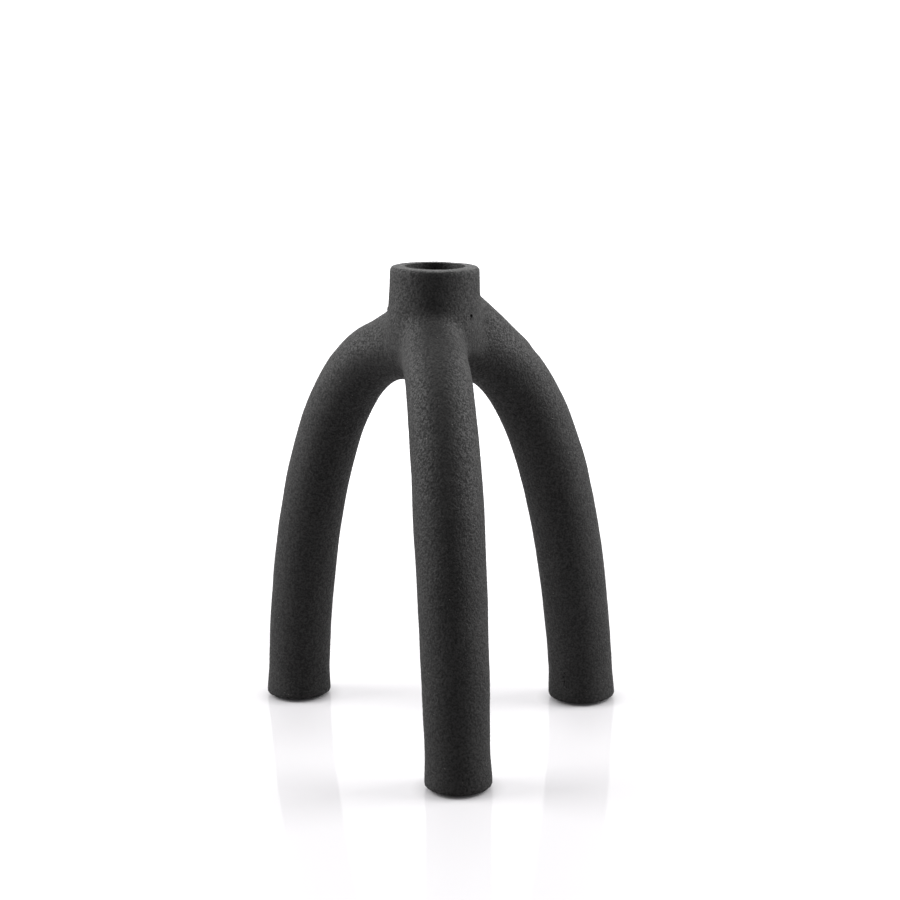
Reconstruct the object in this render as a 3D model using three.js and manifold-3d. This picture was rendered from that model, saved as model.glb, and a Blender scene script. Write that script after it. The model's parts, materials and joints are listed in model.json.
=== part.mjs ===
// Tabletop candle holder: one candle collar seated on a crown that three arched legs grow from,
// each leg standing on a thin felt pad. Hand-built stoneware, so no two legs are quite alike.
// Millimetres, +Z up. The origin is on the table, under the middle of the whole object's box.

import * as THREE from 'three';
import { mergeVertices } from 'three/addons/utils/BufferGeometryUtils.js';
import Module from 'manifold-3d';

// ---- Driving dimensions ----------------------------------------------------------------------

// Candle collar: a short thick-walled ring, open at the top for a taper candle.
const RIM_HEIGHT = 181.5; // middle of the rim above the table
const BORE_DIAMETER = 23; // takes a standard taper candle, 20 to 22 mm thick
const COLLAR_HEIGHT = 22; // from the rim down to the ledge that the collar stands on
const RECESS_DEPTH = 2; // from the ledge on down to the seat that the candle stands on
const COLLAR_WALL = 6.1; // wall at the foot of the collar
const RIM_WALL = 5.3; // wall at the rim, where the collar is a little thinner
const RIM_ROUND = 1.2; // radius of the softened rim edges
const COLLAR_LEAN = 1.6; // degrees that the collar leans towards +X
const COLLAR_SHIFT = 2.1; // how far the collar's foot sits off the crown's middle, towards +X

// Crown: the knuckle that the legs meet in.
const LIP_HEIGHT = 1.5; // clay drawn up round the collar's foot, above the ledge
const STUB_LENGTH = 4.8; // how far the start of each leg stands clear of the web
const LIP_WALL = 2.4; // thickness of that clay below the ledge
const LIP_EDGE = 0.8; // and at its top edge, where it is smoothed onto the collar
const WEB_NARROWING = 0.45; // the web's radius underneath, as a share of its radius on top

// Legs: round bars on one shared bend, each with its own direction, reach and thickness.
const SHOULDER_REACH = 56; // how far out the bend is pulled before it turns down
const SHOULDER_RISE = 18.5; // how far the bend is pulled up above the crown's middle
const SHIN_HEIGHT = 43; // how high above the table the leg is already nearly upright
const TOE_OUT = 1.3; // how far the foot stands outside that point
const LEGS = [
  { name: 'leg_front', direction: -83.5, reach: 71.5, diameter: 25 },
  { name: 'leg_right', direction: 27, reach: 66.5, diameter: 26.5 },
  { name: 'leg_left', direction: 144, reach: 70.5, diameter: 25 },
];

// Felt pads, glued under the feet.
const PAD_THICKNESS = 1;
const PAD_DIAMETER = 18; // well inside each foot, so the pads hardly show

// Clearances.
const JOINT_GAP = 0.4; // between the crown and each leg, along the leg
const FOOT_GAP = 0.3; // round and under the foot of the collar
const RECESS_MARGIN = 0.5; // how much smaller in radius the crown's recess is than the bore
const PAD_GAP = 0.3; // between each pad and its foot

// Facets.
const ROUND_SIDES = 36;
const LEG_STEPS = 22;
const STUB_STEPS = 6;

// ---- Sizes that follow -----------------------------------------------------------------------

const ledgeHeight = RIM_HEIGHT - COLLAR_HEIGHT;
const thickestLeg = Math.max(...LEGS.map((leg) => leg.diameter)) / 2;
const crownHeight = ledgeHeight - thickestLeg; // the ledge is level with the legs' tops
const boreRadius = BORE_DIAMETER / 2;
const collarRadius = boreRadius + COLLAR_WALL;
const rimRadius = boreRadius + RIM_WALL;
const pocketRadius = collarRadius + FOOT_GAP;
const webRadius = pocketRadius + LIP_WALL;
const crownReach = webRadius + COLLAR_SHIFT + STUB_LENGTH;

// ---- Solids ----------------------------------------------------------------------------------

const wasm = await Module();
wasm.setup();

function solidFrom(geometry) {
  const bare = geometry.clone();
  bare.deleteAttribute('normal');
  bare.deleteAttribute('uv');
  const merged = mergeVertices(bare, 1e-4);
  return new wasm.Manifold(new wasm.Mesh({
    numProp: 3,
    vertProperties: new Float32Array(merged.attributes.position.array),
    triVerts: new Uint32Array(merged.index.array),
  }));
}

function geometryFrom(solid) {
  const mesh = solid.getMesh();
  const geometry = new THREE.BufferGeometry();
  geometry.setAttribute('position', new THREE.BufferAttribute(mesh.vertProperties, 3));
  geometry.setIndex(new THREE.BufferAttribute(mesh.triVerts, 1));
  geometry.computeVertexNormals();
  return geometry;
}

// A profile of [radius, height] points turned about +Z; it starts and ends on the axis, or closes.
function turned(profile) {
  const points = profile.map(([radius, height]) => new THREE.Vector2(radius, height));
  const geometry = new THREE.LatheGeometry(points, ROUND_SIDES);
  return geometry.rotateX(Math.PI / 2);
}

// A quarter round from one angle to the next, as profile points about its centre.
function quarter(centreRadius, centreHeight, radius, fromDegrees) {
  return [0, 30, 60, 90].map((step) => {
    const angle = THREE.MathUtils.degToRad(fromDegrees + step);
    return [centreRadius + radius * Math.cos(angle), centreHeight + radius * Math.sin(angle)];
  });
}

// ---- Collar ----------------------------------------------------------------------------------

// The collar and what is cut for it lean together about the middle of the ledge.
function placedOnLedge(geometry) {
  geometry.rotateY(THREE.MathUtils.degToRad(COLLAR_LEAN));
  return geometry.translate(COLLAR_SHIFT, 0, ledgeHeight);
}

function collarGeometry() {
  const top = COLLAR_HEIGHT;
  const profile = [
    [boreRadius, FOOT_GAP],
    [collarRadius, FOOT_GAP],
    ...quarter(rimRadius - RIM_ROUND, top - RIM_ROUND, RIM_ROUND, 0),
    ...quarter(boreRadius + RIM_ROUND, top - RIM_ROUND, RIM_ROUND, 90),
    [boreRadius, FOOT_GAP],
  ];
  return placedOnLedge(turned(profile));
}

// ---- Legs ------------------------------------------------------------------------------------

// The middle line of a leg, from the middle of the crown down to the table.
function legLine(leg) {
  const angle = THREE.MathUtils.degToRad(leg.direction);
  const at = (out, up) => new THREE.Vector3(out * Math.cos(angle), out * Math.sin(angle), up);
  return new THREE.CubicBezierCurve3(
    at(0, crownHeight),
    at(SHOULDER_REACH, crownHeight + SHOULDER_RISE),
    at(leg.reach - TOE_OUT, SHIN_HEIGHT),
    at(leg.reach, 0),
  );
}

// Where along its line a leg leaves the crown, as a share of the line's length.
function jointShare(line) {
  let share = 0;
  while (Math.hypot(line.getPointAt(share).x, line.getPointAt(share).y) < crownReach) {
    share += 0.001;
  }
  return share;
}

// A stretch of a leg's line, between two shares of its length.
class Stretch extends THREE.Curve {
  constructor(line, fromShare, toShare) {
    super();
    Object.assign(this, { line, fromShare, toShare });
  }

  getPoint(t) {
    return this.line.getPointAt(THREE.MathUtils.lerp(this.fromShare, this.toShare, t));
  }
}

// A round bar along a stretch, its ends square to the line.
function bar(stretch, radius, steps) {
  const section = new THREE.Shape().absarc(0, 0, radius, 0, Math.PI * 2);
  return new THREE.ExtrudeGeometry(section, {
    steps,
    curveSegments: ROUND_SIDES / 2, // a full circle takes twice this many
    extrudePath: stretch,
  });
}

// The foot is cut off level, a pad's thickness above the table.
function legGeometry(leg) {
  const line = legLine(leg);
  const start = jointShare(line) + JOINT_GAP / line.getLength();
  const raw = solidFrom(bar(new Stretch(line, start, 1), leg.diameter / 2, LEG_STEPS));
  const cutTop = PAD_THICKNESS + PAD_GAP;
  const cutDepth = leg.diameter;
  const cutter = new THREE.BoxGeometry(2 * leg.diameter, 2 * leg.diameter, cutDepth);
  const foot = line.getPointAt(1);
  cutter.translate(foot.x, foot.y, cutTop - cutDepth / 2);
  return geometryFrom(raw.subtract(solidFrom(cutter)));
}

// ---- Crown -----------------------------------------------------------------------------------

// The clay that fills the corners between the legs, as wide on top as the collar's foot needs.
function webGeometry() {
  const underside = crownHeight - thickestLeg;
  const top = ledgeHeight + LIP_HEIGHT;
  const web = turned([
    [0, underside],
    [webRadius * WEB_NARROWING, underside],
    [webRadius, crownHeight],
    [webRadius, (crownHeight + ledgeHeight) / 2],
    [pocketRadius + LIP_EDGE, top],
    [0, top],
  ]);
  return web.translate(COLLAR_SHIFT, 0, 0);
}

// A round hole from a given depth below the ledge up past the top of the crown.
function hole(radius, depth) {
  const length = depth + COLLAR_HEIGHT;
  const cutter = new THREE.CylinderGeometry(radius, radius, length, ROUND_SIDES);
  cutter.rotateX(Math.PI / 2).translate(0, 0, length / 2 - depth);
  return solidFrom(placedOnLedge(cutter));
}

// The starts of the three legs run together round a ball and the web. A pocket in the top takes
// the foot of the collar, and a recess below it ends in the seat that the candle stands on.
function crownGeometry() {
  const ball = new THREE.SphereGeometry(thickestLeg, ROUND_SIDES, ROUND_SIDES / 2);
  let crown = solidFrom(ball.translate(0, 0, crownHeight)).add(solidFrom(webGeometry()));
  for (const leg of LEGS) {
    const line = legLine(leg);
    const stub = bar(new Stretch(line, 0, jointShare(line)), leg.diameter / 2, STUB_STEPS);
    crown = crown.add(solidFrom(stub));
  }
  crown = crown.subtract(hole(pocketRadius, 0));
  return geometryFrom(crown.subtract(hole(boreRadius - RECESS_MARGIN, RECESS_DEPTH)));
}

// ---- Pads ------------------------------------------------------------------------------------

function padGeometry(leg) {
  const radius = PAD_DIAMETER / 2;
  const foot = legLine(leg).getPointAt(1);
  const pad = new THREE.CylinderGeometry(radius, radius, PAD_THICKNESS, ROUND_SIDES);
  return pad.rotateX(Math.PI / 2).translate(foot.x, foot.y, PAD_THICKNESS / 2);
}

// ---- Assembly --------------------------------------------------------------------------------

const stoneware = { color: 0x2b2b2c, roughness: 0.9, metalness: 0 };
const felt = { color: 0x4a423f, roughness: 1, metalness: 0 };

const holder = new THREE.Group();

function place(name, geometry, finish) {
  const mesh = new THREE.Mesh(geometry, new THREE.MeshStandardMaterial(finish));
  mesh.name = name;
  holder.add(mesh);
}

place('candle_collar', collarGeometry(), stoneware);
place('crown', crownGeometry(), stoneware);
for (const leg of LEGS) {
  place(leg.name, legGeometry(leg), stoneware);
  place(leg.name.replace('leg', 'foot_pad'), padGeometry(leg), felt);
}

// The legs reach out unevenly, so the whole object is moved to stand centred on the origin.
const box = new THREE.Box3().setFromObject(holder, true);
holder.position.set(-(box.min.x + box.max.x) / 2, -(box.min.y + box.max.y) / 2, 0);

export default holder;
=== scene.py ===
"""Looks of a hand-built black stoneware candle holder: a candle collar on three arched legs."""
import json
import math

import bpy
from mathutils import Euler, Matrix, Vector


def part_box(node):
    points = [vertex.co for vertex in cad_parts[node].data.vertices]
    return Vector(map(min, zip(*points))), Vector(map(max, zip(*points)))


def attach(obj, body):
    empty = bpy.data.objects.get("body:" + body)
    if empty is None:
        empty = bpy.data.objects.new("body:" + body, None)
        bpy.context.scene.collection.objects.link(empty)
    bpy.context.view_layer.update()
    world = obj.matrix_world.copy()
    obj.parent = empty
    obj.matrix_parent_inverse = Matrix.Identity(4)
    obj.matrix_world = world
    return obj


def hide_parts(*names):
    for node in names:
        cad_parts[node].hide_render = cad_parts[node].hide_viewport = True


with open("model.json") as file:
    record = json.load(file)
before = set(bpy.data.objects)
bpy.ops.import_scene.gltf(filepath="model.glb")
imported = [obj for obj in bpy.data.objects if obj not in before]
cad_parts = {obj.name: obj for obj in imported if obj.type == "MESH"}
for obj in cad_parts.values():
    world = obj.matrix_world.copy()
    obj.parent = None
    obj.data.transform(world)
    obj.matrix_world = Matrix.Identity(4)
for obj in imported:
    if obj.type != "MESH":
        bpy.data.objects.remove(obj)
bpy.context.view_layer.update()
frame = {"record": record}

# ---- Camera and studio ------------------------------------------------------------------------
# A table-top product shot: a long lens looks slightly down on the piece, which stands on a
# glossy white sheet. Soft boxes stand on both sides and behind, so the near side is the dark one.

CAMERA_PLACE = (0.0057, -0.7852, 0.2772)
CAMERA_PITCH = 11.78
CAMERA_ROLL = -1
CAMERA_LENS = 84.9
CAMERA_SEES_TO = 20
SHEET_WIDTH = 6
SHEET_COLOR = (0.37, 0.365, 0.37, 1)
SHEET_ROUGHNESS, SHEET_SHINE = 0.06, 0.16
# Painted light: the sheet glows for the camera alone, so that it reads white. The glow is weaker
# near the holder and full far away.
PAINTED_GLOW_COLOR = (0.985, 0.965, 1, 1)
NEAR_PAINTED_GLOW, FAR_PAINTED_GLOW = 0.385, 1
PAINTED_GLOW_STARTS, PAINTED_GLOW_IS_FULL = 0.15, 0.60
# Painted shadow: how far from the holder the sheet's glow is darkened by occlusion.
PAINTED_CONTACT_SHADE_REACH = 0.006
SIDE_BOX_PLACE, SIDE_BOX_AIM = (0.66, 0.05, 0.50), (0, 0, 0.10)
BACK_BOX_PLACE, BACK_BOX_AIM = (0, 0.90, 1.05), (0, 0, 0.12)
SIDE_BOX_SIZE, BACK_BOX_SIZE = 0.5, 0.7
SIDE_BOX_WATTS = 8.5
BACK_BOX_WATTS = 8.5
DARK_SKY, FAR_SKY = -0.55, 1.2

camera_data = bpy.data.cameras.new("camera")
camera_data.lens = CAMERA_LENS
camera_data.clip_end = CAMERA_SEES_TO
camera = bpy.data.objects.new("camera", camera_data)
bpy.context.scene.collection.objects.link(camera)
camera.location = CAMERA_PLACE
camera.rotation_mode = "ZXY"
camera.rotation_euler = Euler(
    (math.radians(90 - CAMERA_PITCH), 0, math.radians(CAMERA_ROLL)), "ZXY"
)
bpy.context.scene.camera = camera

bpy.ops.mesh.primitive_plane_add(size=SHEET_WIDTH, location=(0, 0, 0))
floor = bpy.context.object
floor.name = "floor"

sheet = bpy.data.materials.new("glossy_sheet_with_painted_glow")
sheet.use_nodes = True
sheet_surface = sheet.node_tree.nodes["Principled BSDF"]
sheet_surface.inputs["Base Color"].default_value = SHEET_COLOR
sheet_surface.inputs["Roughness"].default_value = SHEET_ROUGHNESS
sheet_surface.inputs["Specular IOR Level"].default_value = SHEET_SHINE
sheet_surface.inputs["Emission Color"].default_value = PAINTED_GLOW_COLOR
floor.data.materials.append(sheet)

# Painted light on the sheet: an emission that only camera rays see, growing with distance from the
# holder.
nodes, links = sheet.node_tree.nodes, sheet.node_tree.links
spot = nodes.new("ShaderNodeTexCoord")
away = nodes.new("ShaderNodeVectorMath")
away.operation = "LENGTH"
painted_glow_by_distance = nodes.new("ShaderNodeMapRange")
painted_glow_by_distance.interpolation_type = "SMOOTHSTEP"
painted_glow_by_distance.inputs["From Min"].default_value = PAINTED_GLOW_STARTS
painted_glow_by_distance.inputs["From Max"].default_value = PAINTED_GLOW_IS_FULL
painted_glow_by_distance.inputs["To Min"].default_value = NEAR_PAINTED_GLOW
painted_glow_by_distance.inputs["To Max"].default_value = FAR_PAINTED_GLOW
seen = nodes.new("ShaderNodeLightPath")
painted_glow = nodes.new("ShaderNodeMath")
painted_glow.operation = "MULTIPLY"
# Painted contact shadow: the glow is multiplied by ambient occlusion, so it darkens under and
# around the feet.
painted_contact_shade = nodes.new("ShaderNodeAmbientOcclusion")
painted_contact_shade.inputs["Distance"].default_value = PAINTED_CONTACT_SHADE_REACH
glow_with_painted_shade = nodes.new("ShaderNodeMath")
glow_with_painted_shade.operation = "MULTIPLY"
links.new(spot.outputs["Object"], away.inputs[0])
links.new(away.outputs["Value"], painted_glow_by_distance.inputs["Value"])
links.new(painted_glow_by_distance.outputs["Result"], painted_glow.inputs[1])
links.new(seen.outputs["Is Camera Ray"], painted_glow.inputs[0])
links.new(painted_glow.outputs["Value"], glow_with_painted_shade.inputs[0])
links.new(painted_contact_shade.outputs["AO"], glow_with_painted_shade.inputs[1])
links.new(glow_with_painted_shade.outputs["Value"], sheet_surface.inputs["Emission Strength"])


def soft_box(name, place, aim, size, watts):
    """A square soft box at one place, turned to face another."""
    lamp = bpy.data.lights.new(name, "AREA")
    lamp.shape = "SQUARE"
    lamp.size = size
    lamp.energy = watts
    box = bpy.data.objects.new(name, lamp)
    box.location = place
    box.rotation_euler = (Vector(aim) - Vector(place)).to_track_quat("-Z", "Y").to_euler()
    bpy.context.scene.collection.objects.link(box)


for name, facing in (("soft_box_left", -1), ("soft_box_right", 1)):
    across, behind, high = SIDE_BOX_PLACE
    place = (facing * across, behind, high)
    soft_box(name, place, SIDE_BOX_AIM, SIDE_BOX_SIZE, SIDE_BOX_WATTS)
soft_box("soft_box_back", BACK_BOX_PLACE, BACK_BOX_AIM, BACK_BOX_SIZE, BACK_BOX_WATTS)

studio = bpy.data.worlds.new("white_studio")
studio.use_nodes = True
nodes, links = studio.node_tree.nodes, studio.node_tree.links
towards = nodes.new("ShaderNodeTexCoord")
split = nodes.new("ShaderNodeSeparateXYZ")
brightness = nodes.new("ShaderNodeMapRange")
brightness.inputs["From Min"].default_value = DARK_SKY
brightness.inputs["From Max"].default_value = 1
brightness.inputs["To Min"].default_value = 0
brightness.inputs["To Max"].default_value = FAR_SKY
seen = nodes.new("ShaderNodeLightPath")
brightest = nodes.new("ShaderNodeMath")
brightest.operation = "MAXIMUM"
links.new(towards.outputs["Generated"], split.inputs["Vector"])
links.new(split.outputs["Y"], brightness.inputs["Value"])
links.new(brightness.outputs["Result"], brightest.inputs[0])
links.new(seen.outputs["Is Camera Ray"], brightest.inputs[1])
nodes["Background"].inputs["Color"].default_value = (1, 1, 1, 1)
links.new(brightest.outputs["Value"], nodes["Background"].inputs["Strength"])
bpy.context.scene.world = studio
bpy.context.scene.view_settings.view_transform = "Standard"

# ---- Stoneware --------------------------------------------------------------------------------
# A coarse black clay body, left unglazed. Fired, it is dead matt and gritty: grains of grog lie
# in a darker ground, and here and there one has dropped out. A few pale grains are painted
# brighter, as painted highlights for the glints where they catch the light, and the pits are
# painted darker, as painted shade.

GROUND_COLOR = (0.0105, 0.0101, 0.0101, 1)
GROG_COLOR = (0.0300, 0.0288, 0.0285, 1)
# Painted highlight: a few pale grains get a much lighter colour, to stand in for glints of light.
PAINTED_GLINT_COLOR = (0.22, 0.21, 0.20, 1)
# Painted shade: the colour the pits are darkened to, where grains dropped out.
PAINTED_PIT_SHADE_COLOR = (0.003, 0.003, 0.003, 1)
FINE_GRIT, COARSE_GRIT, MOTTLING = 1400, 700, 55
# Specks: how many across a metre, how high the noise has to be there, and how soft their edges are.
HOLES = (420, 0.755, 0.02)
PAINTED_GLINTS = (1300, 0.785, 0.03)
DARKEST, LIGHTEST = 0.70, 1.06
LOW_GRIT, HIGH_GRIT = 0.55, 0.85
LOW_ROUGHNESS, HIGH_ROUGHNESS = 0.62, 0.85
CLAY_SHINE = 0.4
CLAY_DUSTINESS = 0.6
GRIT_DEPTH = 0.0002


def speckle_group():
    """Sparse specks: the few places where a noise is at its highest."""
    group = bpy.data.node_groups.new("speckle", "ShaderNodeTree")
    for label, kind, start in (
        ("Vector", "NodeSocketVector", None),
        ("Scale", "NodeSocketFloat", 900),
        ("Threshold", "NodeSocketFloat", 0.7),
        ("Softness", "NodeSocketFloat", 0.05),
    ):
        socket = group.interface.new_socket(label, in_out="INPUT", socket_type=kind)
        if start is not None:
            socket.default_value = start
    group.interface.new_socket("Mask", in_out="OUTPUT", socket_type="NodeSocketFloat")
    given = group.nodes.new("NodeGroupInput")
    result = group.nodes.new("NodeGroupOutput")
    noise = group.nodes.new("ShaderNodeTexNoise")
    noise.inputs["Detail"].default_value = 1
    above = group.nodes.new("ShaderNodeMath")
    above.operation = "SUBTRACT"
    share = group.nodes.new("ShaderNodeMath")
    share.operation = "DIVIDE"
    share.use_clamp = True
    group.links.new(given.outputs["Vector"], noise.inputs["Vector"])
    group.links.new(given.outputs["Scale"], noise.inputs["Scale"])
    group.links.new(noise.outputs["Fac"], above.inputs[0])
    group.links.new(given.outputs["Threshold"], above.inputs[1])
    group.links.new(above.outputs["Value"], share.inputs[0])
    group.links.new(given.outputs["Softness"], share.inputs[1])
    group.links.new(share.outputs["Value"], result.inputs["Mask"])
    return group


speckle = speckle_group()


class Finish:
    """A new material, with short ways to add what a procedural finish is built from."""

    def __init__(self, name):
        self.material = bpy.data.materials.new(name)
        self.material.use_nodes = True
        self.nodes = self.material.node_tree.nodes
        self.surface = self.nodes["Principled BSDF"]
        self.place = self.nodes.new("ShaderNodeTexCoord").outputs["Object"]

    def link(self, source, target):
        self.material.node_tree.links.new(source, target)

    def noise(self, scale, detail):
        node = self.nodes.new("ShaderNodeTexNoise")
        node.inputs["Scale"].default_value = scale
        node.inputs["Detail"].default_value = detail
        self.link(self.place, node.inputs["Vector"])
        return node.outputs["Fac"]

    def specks(self, scale, threshold, softness):
        node = self.nodes.new("ShaderNodeGroup")
        node.node_tree = speckle
        node.inputs["Scale"].default_value = scale
        node.inputs["Threshold"].default_value = threshold
        node.inputs["Softness"].default_value = softness
        self.link(self.place, node.inputs["Vector"])
        return node.outputs["Mask"]

    def spread(self, value, low, high, to_low, to_high):
        node = self.nodes.new("ShaderNodeMapRange")
        for label, number in (
            ("From Min", low),
            ("From Max", high),
            ("To Min", to_low),
            ("To Max", to_high),
        ):
            node.inputs[label].default_value = number
        self.link(value, node.inputs["Value"])
        return node.outputs["Result"]

    def mixed(self, share, first, second):
        node = self.nodes.new("ShaderNodeMix")
        node.data_type = "RGBA"
        self.link(share, node.inputs[0])
        for color, socket in ((first, node.inputs[6]), (second, node.inputs[7])):
            if isinstance(color, tuple):
                socket.default_value = color
            else:
                self.link(color, socket)
        return node.outputs[2]

    def sum(self, first, second, share):
        """The first value plus a share of the second."""
        node = self.nodes.new("ShaderNodeMath")
        node.operation = "MULTIPLY_ADD"
        self.link(second, node.inputs[0])
        node.inputs[1].default_value = share
        self.link(first, node.inputs[2])
        return node.outputs["Value"]

    def bump(self, height, distance, strength):
        node = self.nodes.new("ShaderNodeBump")
        node.inputs["Distance"].default_value = distance
        node.inputs["Strength"].default_value = strength
        self.link(height, node.inputs["Height"])
        self.link(node.outputs["Normal"], self.surface.inputs["Normal"])


def stoneware_finish():
    clay = Finish("black_stoneware")
    fine = clay.noise(FINE_GRIT, 2)
    coarse = clay.noise(COARSE_GRIT, 1)
    mottling = clay.noise(MOTTLING, 3)
    holes_and_pit_shade = clay.specks(*HOLES)
    painted_glints = clay.specks(*PAINTED_GLINTS)
    grit = clay.sum(fine, coarse, 0.4)
    # Tone of the grain, darkened in the pits as painted shade.
    shade = clay.sum(clay.sum(grit, mottling, 0.35), holes_and_pit_shade, -0.4)
    color = clay.mixed(clay.spread(shade, DARKEST, LIGHTEST, 0, 1), GROUND_COLOR, GROG_COLOR)
    # Painted highlight: glints painted into the colour of a few pale grains.
    color = clay.mixed(painted_glints, color, PAINTED_GLINT_COLOR)
    # Painted shade: the pits are coloured nearly black.
    color = clay.mixed(holes_and_pit_shade, color, PAINTED_PIT_SHADE_COLOR)
    clay.link(color, clay.surface.inputs["Base Color"])
    roughness = clay.spread(grit, LOW_GRIT, HIGH_GRIT, HIGH_ROUGHNESS, LOW_ROUGHNESS)
    clay.link(roughness, clay.surface.inputs["Roughness"])
    clay.surface.inputs["Specular IOR Level"].default_value = CLAY_SHINE
    clay.surface.inputs["Diffuse Roughness"].default_value = CLAY_DUSTINESS
    clay.bump(clay.sum(grit, holes_and_pit_shade, -1.5), GRIT_DEPTH, 1)
    return clay.material


stoneware = stoneware_finish()

# ---- Legs -------------------------------------------------------------------------------------
# Three round bars of stoneware clay, bent over a former while wet, no two quite alike. Each foot
# is cut off level, has spread a little under its own weight, and has a sponged edge.

CROWN_THICKNESS = {"front": 0.0236, "right": 0.0242, "left": 0.0241}
KNEE_THICKNESS = {"front": 0.0261, "right": 0.0270, "left": 0.0253}
FOOT_THICKNESS = {"front": 0.0236, "right": 0.0256, "left": 0.0250}
LEGS_RAISED = 0.0016
SHOULDER_REACH = 0.0560
SHOULDER_RISE = {"front": 0.0185, "right": 0.0207, "left": 0.0197}
SHIN_HEIGHT = 0.0430
TOE_OUT = 0.0013
FOOT_SPREAD = 1.05
SPREAD_HEIGHT = 0.012
FOOT_SOFTENING = 0.0009
BAR_STEPS, BAR_ROUNDNESS = 64, 16
FELT_GAP = 0.00005
COLLAR_SHIFT = 0.0021
CROWN_BELOW_LEDGE = 0.01325
LEDGE_ABOVE_SEAT = 0.0020

seat = next(mount for mount in frame["record"]["mounts"] if mount["name"] == "candle_seat")
seat_point = Vector(seat["pos_m"])
socket_axis = Vector(seat["axis"])
ledge = seat_point + socket_axis * LEDGE_ABOVE_SEAT
crown_middle = Vector((ledge.x - COLLAR_SHIFT, ledge.y, ledge.z - CROWN_BELOW_LEDGE))
sides = tuple(SHOULDER_RISE)


def only(piece):
    """Selects one object and nothing else, and makes it the active one."""
    bpy.ops.object.select_all(action="DESELECT")
    piece.select_set(True)
    bpy.context.view_layer.objects.active = piece


def foot_place(side):
    """The middle of a foot, on the table."""
    low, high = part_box("foot_pad_" + side)
    return Vector(((low.x + high.x) / 2, (low.y + high.y) / 2, 0))


def outwards(side):
    """The level direction that a leg runs out in."""
    way = foot_place(side) - crown_middle
    return Vector((way.x, way.y, 0)).normalized()


def leg_bar(side):
    foot, out = foot_place(side), outwards(side)
    start = crown_middle + Vector((0, 0, LEGS_RAISED))
    shoulder = crown_middle + out * SHOULDER_REACH + Vector((0, 0, SHOULDER_RISE[side]))
    shin = foot - out * TOE_OUT + Vector((0, 0, SHIN_HEIGHT))
    bpy.ops.object.select_all(action="DESELECT")
    bpy.ops.curve.primitive_bezier_curve_add()
    bar = bpy.context.object
    spline = bar.data.splines[0]
    spline.resolution_u = BAR_STEPS
    first, last = spline.bezier_points
    for point in (first, last):
        point.handle_left_type = point.handle_right_type = "FREE"
    first.co, first.handle_right, first.handle_left = start, shoulder, start * 2 - shoulder
    last.co, last.handle_left, last.handle_right = foot, shin, foot * 2 - shin
    bpy.ops.object.mode_set(mode="EDIT")
    bpy.ops.curve.select_all(action="SELECT")
    bpy.ops.curve.subdivide(number_cuts=1)
    bpy.ops.object.mode_set(mode="OBJECT")
    thicknesses = (CROWN_THICKNESS[side], KNEE_THICKNESS[side], FOOT_THICKNESS[side])
    for point, thickness in zip(bar.data.splines[0].bezier_points, thicknesses):
        point.radius = thickness / 2
    bar.data.bevel_depth = 1
    bar.data.bevel_resolution = BAR_ROUNDNESS
    bar.data.use_fill_caps = True
    only(bar)
    bpy.ops.object.convert(target="MESH")
    bar = bpy.context.object
    bar.name = "bar_" + side
    foot_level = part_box("foot_pad_" + side)[1].z + FELT_GAP
    bpy.ops.object.mode_set(mode="EDIT")
    bpy.ops.mesh.select_all(action="SELECT")
    bpy.ops.mesh.remove_doubles(threshold=1e-6)
    bpy.ops.mesh.bisect(
        plane_co=(0, 0, foot_level), plane_no=(0, 0, 1), use_fill=True, clear_inner=True
    )
    bpy.ops.transform.resize(
        value=(FOOT_SPREAD, FOOT_SPREAD, 1),
        center_override=foot,
        use_proportional_edit=True,
        proportional_edit_falloff="SMOOTH",
        proportional_size=SPREAD_HEIGHT,
    )
    bpy.ops.mesh.bevel(offset=FOOT_SOFTENING, segments=5, affect="EDGES")
    bpy.ops.mesh.select_all(action="SELECT")
    bpy.ops.mesh.normals_make_consistent(inside=False)
    bpy.ops.object.mode_set(mode="OBJECT")
    return bar


bars = {side: leg_bar(side) for side in sides}

# ---- Collar -----------------------------------------------------------------------------------
# A thick ring of the same clay, a little narrower at the rim, luted on top of the crown, where it
# has settled to one side. Its socket is bored last, when the clay is leather hard.

COLLAR_RADIUS = 0.0178
RIM_RADIUS = 0.0169
COLLAR_HEIGHT = 0.0220
COLLAR_FOOT = 0.0040
RIM_SOFTENING = 0.0012


def turned_lump(name, low_radius, high_radius, low, high):
    """A solid lump turned about the socket's axis, between two heights above the ledge."""
    bpy.ops.object.select_all(action="DESELECT")
    bpy.ops.mesh.primitive_cone_add(
        vertices=96,
        radius1=low_radius,
        radius2=high_radius,
        depth=high - low,
        location=ledge + socket_axis * (low + high) / 2,
        rotation=socket_axis.to_track_quat("Z", "Y").to_euler(),
    )
    lump = bpy.context.object
    lump.name = name
    bpy.ops.object.transform_apply(location=True, rotation=True, scale=True)
    return lump


def selected_faces(piece, wanted):
    """Selects the faces of a piece that pass a test, and opens it in edit mode."""
    only(piece)
    bpy.ops.object.mode_set(mode="EDIT")
    bpy.ops.mesh.select_mode(type="FACE")
    bpy.ops.mesh.select_all(action="DESELECT")
    bpy.ops.object.mode_set(mode="OBJECT")
    for face in piece.data.polygons:
        face.select = wanted(face)
    bpy.ops.object.mode_set(mode="EDIT")


collar_lump = turned_lump("collar_lump", COLLAR_RADIUS, RIM_RADIUS, -COLLAR_FOOT, COLLAR_HEIGHT)
selected_faces(collar_lump, lambda face: face.normal.dot(socket_axis) > 0.9)
bpy.ops.mesh.region_to_loop()
bpy.ops.mesh.bevel(offset=RIM_SOFTENING, segments=4, affect="EDGES")
bpy.ops.object.mode_set(mode="OBJECT")

# ---- Crown ------------------------------------------------------------------------------------
# The knuckle where the bars and the collar meet. Wet clay is pressed into the corners, with a
# roll of it from the collar down onto each leg, highest on the right, and smoothed with a finger
# into one flowing skin.

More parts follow.
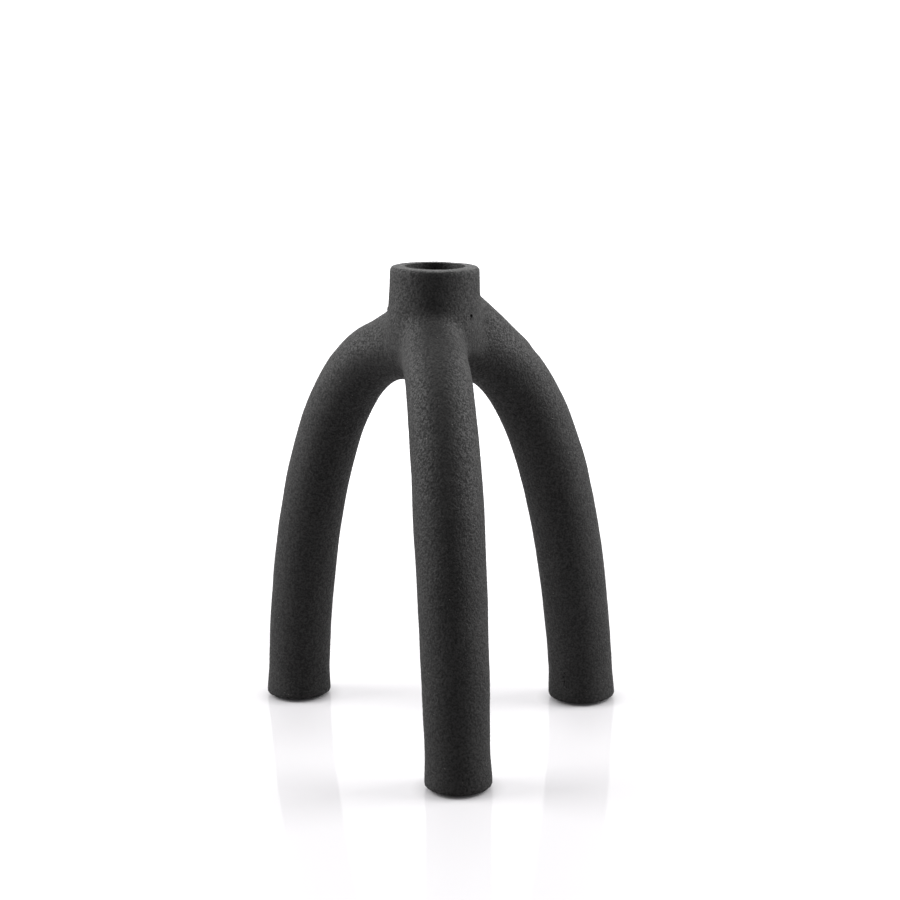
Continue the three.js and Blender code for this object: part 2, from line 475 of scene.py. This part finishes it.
BALL_RADIUS = 0.0098
WEB_RADIUS = 0.0180
WEB_DEPTH = CROWN_BELOW_LEDGE * 0.8
LIP_RADIUS = 0.0184
LIP_HEIGHT = 0.0015
ROLL_THICKNESS = 0.0230
ROLL_HEIGHT = {"front": 0.0075, "right": 0.0155, "left": 0.0056}
ROLL_END = {"front": (0.038, -0.0075), "right": (0.044, -0.0087), "left": (0.036, -0.0036)}
ROLL_END_THICKNESS = 0.0190
ROLL_START = 0.0150
VOXEL = 0.0009
SMOOTHING = 70
SMOOTHED_INSIDE = 0.030
UNTOUCHED_OUTSIDE = 0.052
SMOOTHED_ABOVE_LEDGE, UNTOUCHED_ABOVE_LEDGE = 0.006, 0.013
SMOOTHING_LOSS = 0.0004


def joined(pieces, name):
    """Joins objects into the first one."""
    bpy.ops.object.select_all(action="DESELECT")
    for piece in pieces:
        piece.select_set(True)
    bpy.context.view_layer.objects.active = pieces[0]
    bpy.ops.object.join()
    pieces[0].name = name
    return pieces[0]


def clay_roll(side):
    """A roll of clay that slopes from the collar's side down onto the top of a leg."""
    out = outwards(side)
    top_start = Vector((crown_middle.x, crown_middle.y, ledge.z)) + out * ROLL_START
    top_start.z += ROLL_HEIGHT[side]
    reach, rise = ROLL_END[side]
    top_end = Vector((crown_middle.x, crown_middle.y, ledge.z + rise)) + out * reach
    run = top_end - top_start
    down = run.cross(run.cross(Vector((0, 0, 1)))).normalized() * ROLL_THICKNESS / 2
    if down.z > 0:
        down.negate()
    bpy.ops.object.select_all(action="DESELECT")
    bpy.ops.mesh.primitive_cone_add(
        vertices=48,
        radius1=ROLL_THICKNESS / 2,
        radius2=ROLL_END_THICKNESS / 2,
        depth=run.length,
        location=(top_start + top_end) / 2 + down,
        rotation=run.to_track_quat("Z", "Y").to_euler(),
    )
    bpy.ops.object.transform_apply(location=True, rotation=True, scale=True)
    return bpy.context.object


def filler_ball():
    bpy.ops.object.select_all(action="DESELECT")
    bpy.ops.mesh.primitive_uv_sphere_add(
        segments=48, ring_count=24, radius=BALL_RADIUS, location=crown_middle
    )
    bpy.ops.object.transform_apply(location=True, rotation=True, scale=True)
    return bpy.context.object


web = turned_lump("web", WEB_RADIUS, LIP_RADIUS, -WEB_DEPTH, LIP_HEIGHT)
rolls = [clay_roll(side) for side in sides]
body = joined([*bars.values(), collar_lump, web, filler_ball(), *rolls], "body")

only(body)
remesh = body.modifiers.new("one_skin", "REMESH")
remesh.mode = "VOXEL"
remesh.voxel_size = VOXEL
remesh.use_smooth_shade = True
bpy.ops.object.modifier_apply(modifier=remesh.name)


def fade(value, full, none):
    """1 up to one value, 0 past another, and in between in between."""
    return min(1, max(0, (none - value) / (none - full)))


def smoothed_zone(piece):
    """Marks where the clay is smoothed: near the crown's middle, and low on the collar."""
    group = piece.vertex_groups.new(name="smoothed")
    for vertex in piece.data.vertices:
        away = (vertex.co - crown_middle).length
        above = (vertex.co - ledge).dot(socket_axis)
        share = fade(away, SMOOTHED_INSIDE, UNTOUCHED_OUTSIDE)
        share *= fade(above, SMOOTHED_ABOVE_LEDGE, UNTOUCHED_ABOVE_LEDGE)
        if share > 0:
            group.add([vertex.index], share, "REPLACE")
    return group.name


smooth = body.modifiers.new("smoothed", "SMOOTH")
smooth.factor = 0.5
smooth.iterations = SMOOTHING
smooth.vertex_group = smoothed_zone(body)
bpy.ops.object.modifier_apply(modifier=smooth.name)
swell = body.modifiers.new("swelled", "DISPLACE")
swell.strength = SMOOTHING_LOSS
swell.mid_level = 0
swell.vertex_group = body.vertex_groups[0].name
bpy.ops.object.modifier_apply(modifier=swell.name)
body.vertex_groups.clear()

# ---- Grit -------------------------------------------------------------------------------------
# The skin of the whole holder before it is taken apart: slightly uneven from the hand, sandy from
# the grog, with a few pits where grains dropped out and two nibs of slip on the collar's left.

UNEVENNESS, UNEVEN_OVER = 0.0004, 0.0140
GRIT, GRIT_OVER = 0.00016, 0.0008
# Each lump of grog: its place from the middle of the ledge, and its size.
COLLAR_PITS = (((0.0140, -0.0113, 0.0042), 0.0018), ((0.0137, -0.0117, 0.0036), 0.0010))
LEG_PITS = (
    ((0.0498, 0.0190, -0.1458), 0.0009),
    ((0.0494, 0.0193, -0.1476), 0.0012),
    ((0.0490, 0.0196, -0.1484), 0.0008),
    ((0.0497, 0.0191, -0.1494), 0.0013),
    ((0.0496, 0.0191, -0.1506), 0.0010),
    ((0.0505, 0.0184, -0.1517), 0.0009),
)
NIBS = (((-0.0173, -0.0010, 0.0060), 0.0012), ((-0.0173, -0.0024, 0.0068), 0.0009))


def roughened(piece, name, amount, over):
    """Moves a skin in and out by a cloudy noise of the given height and grain."""
    clouds = bpy.data.textures.new(name, "CLOUDS")
    clouds.noise_scale = over
    clouds.noise_depth = 1
    rough = piece.modifiers.new(name, "DISPLACE")
    rough.texture = clouds
    rough.texture_coords = "GLOBAL"
    rough.strength = amount
    only(piece)
    bpy.ops.object.modifier_apply(modifier=rough.name)


def combined(piece, tool, operation):
    """Adds a tool's shape to a piece or takes it away, and removes the tool."""
    only(piece)
    change = piece.modifiers.new("change", "BOOLEAN")
    change.operation = operation
    change.solver = "MANIFOLD"
    change.object = tool
    bpy.ops.object.modifier_apply(modifier=change.name)
    bpy.data.objects.remove(tool)


def grains(places, name):
    """Knobbly little lumps of grog, as one object."""
    lumps = []
    for place, size in places:
        bpy.ops.object.select_all(action="DESELECT")
        bpy.ops.mesh.primitive_ico_sphere_add(
            subdivisions=2, radius=size / 2, location=ledge + Vector(place)
        )
        lumps.append(bpy.context.object)
        bpy.ops.object.transform_apply(location=True, rotation=True, scale=True)
    return joined(lumps, name)


only(body)
fine = body.modifiers.new("finer", "SUBSURF")
fine.levels = fine.render_levels = 1
bpy.ops.object.modifier_apply(modifier=fine.name)
roughened(body, "unevenness", UNEVENNESS, UNEVEN_OVER)
roughened(body, "grit", GRIT, GRIT_OVER)
combined(body, grains(COLLAR_PITS + LEG_PITS, "dropped_grog"), "DIFFERENCE")
combined(body, grains(NIBS, "nibs_of_slip"), "UNION")

# ---- Taking apart -----------------------------------------------------------------------------
# Each leg, the crown and the collar is a piece of its own, cut where its clay joint is. The foot
# of the collar stands in a shallow pocket in the crown, and the socket is bored down to the seat.

JOINT_REACH = 0.0270
SOCKET_RADIUS = 0.0115
RECESS_RADIUS = 0.0110
TENON_RADIUS = 0.0160
POCKET_RADIUS = 0.0163
TENON_GAP = 0.0003
TENON_TOP = 0.004
BORED_BELOW, BORED_ABOVE = 0.001, 0.002
SHARPEST_SMOOTHED = 50
BLOCK_SIZE = 0.4


def copied(piece, name):
    """A copy of a mesh object with a mesh of its own."""
    only(piece)
    bpy.ops.object.duplicate()
    bpy.context.object.name = name
    bpy.context.object.data.name = name
    return bpy.context.object


def cut(piece, place, direction):
    """Cuts off what lies behind a plane, and closes the cut."""
    bpy.ops.object.select_all(action="DESELECT")
    bpy.ops.mesh.primitive_cube_add(
        size=BLOCK_SIZE,
        location=place - direction * BLOCK_SIZE / 2,
        rotation=direction.to_track_quat("Z", "Y").to_euler(),
    )
    combined(piece, bpy.context.object, "DIFFERENCE")


def joint(side):
    """Where a leg's joint stands, and the level direction that it faces."""
    out = outwards(side)
    return crown_middle + out * JOINT_REACH, out


lip = ledge + socket_axis * LIP_HEIGHT
joints = {side: joint(side) for side in sides}
clay = {}
for side, (place, direction) in joints.items():
    clay["leg_" + side] = leg = copied(body, "clay_leg_" + side)
    cut(leg, place, direction)
clay["candle_collar"] = collar = copied(body, "clay_collar")
cut(collar, lip, socket_axis)
clay["crown"] = crown = body
crown.name = crown.data.name = "clay_crown"
cut(crown, lip, -socket_axis)
for place, direction in joints.values():
    cut(crown, place, -direction)
    cut(collar, place, -direction)

combined(collar, turned_lump("tenon", TENON_RADIUS, TENON_RADIUS, TENON_GAP, TENON_TOP), "UNION")
bore_top = COLLAR_HEIGHT + BORED_ABOVE
bore = turned_lump("bore", SOCKET_RADIUS, SOCKET_RADIUS, -BORED_BELOW, bore_top)
combined(collar, bore, "DIFFERENCE")
pocket = turned_lump("pocket", POCKET_RADIUS, POCKET_RADIUS, 0, TENON_TOP)
combined(crown, pocket, "DIFFERENCE")
recess = turned_lump("recess", RECESS_RADIUS, RECESS_RADIUS, -LEDGE_ABOVE_SEAT, TENON_TOP)
combined(crown, recess, "DIFFERENCE")

for node, piece in clay.items():
    piece.data.materials.clear()
    piece.data.materials.append(stoneware)
    only(piece)
    bpy.ops.object.shade_smooth_by_angle(angle=math.radians(SHARPEST_SMOOTHED))
    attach(piece, "root")
    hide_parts(node)

# ---- Felt pads --------------------------------------------------------------------------------
# Discs punched from a sheet of thin brown wool felt, glued under the feet. The punch leaves the
# cut edge a little soft, and fibres stand off it.

PAD_SOFTENING = 0.00025
PAD_VOXEL = 0.00018
FELT_DARK = (0.030, 0.021, 0.017, 1)
FELT_LIGHT = (0.110, 0.083, 0.070, 1)
FELT_FIBRE = (0.240, 0.195, 0.170, 1)
PAD_FUZZ, PAD_FUZZ_OVER = 0.00006, 0.0005
WOOL, MATTING = 900, 260
FIBRES = (2600, 0.66, 0.08)
FELT_SHINE = 0.2
FELT_SHEEN, FELT_SHEEN_ROUGHNESS = 0.4, 0.6
FELT_DEPTH = 0.0003


def felt_finish():
    felt = Finish("brown_felt")
    wool = felt.noise(WOOL, 4)
    matting = felt.noise(MATTING, 2)
    fibres = felt.specks(*FIBRES)
    shade = felt.sum(wool, matting, 0.6)
    color = felt.mixed(felt.spread(shade, 0.6, 1.05, 0, 1), FELT_DARK, FELT_LIGHT)
    color = felt.mixed(fibres, color, FELT_FIBRE)
    felt.link(color, felt.surface.inputs["Base Color"])
    felt.link(felt.spread(wool, 0.3, 0.7, 0.9, 1), felt.surface.inputs["Roughness"])
    felt.surface.inputs["Specular IOR Level"].default_value = FELT_SHINE
    felt.surface.inputs["Sheen Weight"].default_value = FELT_SHEEN
    felt.surface.inputs["Sheen Roughness"].default_value = FELT_SHEEN_ROUGHNESS
    felt.bump(felt.sum(shade, fibres, 0.5), FELT_DEPTH, 1)
    return felt.material


brown_felt = felt_finish()
for side in sides:
    low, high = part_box("foot_pad_" + side)
    bpy.ops.object.select_all(action="DESELECT")
    bpy.ops.mesh.primitive_cylinder_add(
        vertices=64,
        radius=(high.x - low.x) / 2,
        depth=high.z - low.z - PAD_FUZZ,
        location=(low + high) / 2,
    )
    bpy.ops.object.transform_apply(location=True, rotation=True, scale=True)
    pad = bpy.context.object
    pad.name = pad.data.name = "felt_pad_" + side
    selected_faces(pad, lambda face: abs(face.normal.z) > 0.9)
    bpy.ops.mesh.region_to_loop()
    bpy.ops.mesh.bevel(offset=PAD_SOFTENING, segments=3, affect="EDGES")
    bpy.ops.object.mode_set(mode="OBJECT")
    matted = pad.modifiers.new("matted", "REMESH")
    matted.mode = "VOXEL"
    matted.voxel_size = PAD_VOXEL
    bpy.ops.object.modifier_apply(modifier=matted.name)
    roughened(pad, "felt_fuzz_" + side, PAD_FUZZ, PAD_FUZZ_OVER)
    pad.data.materials.clear()
    pad.data.materials.append(brown_felt)
    only(pad)
    bpy.ops.object.shade_smooth()
    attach(pad, "root")
    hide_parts("foot_pad_" + side)
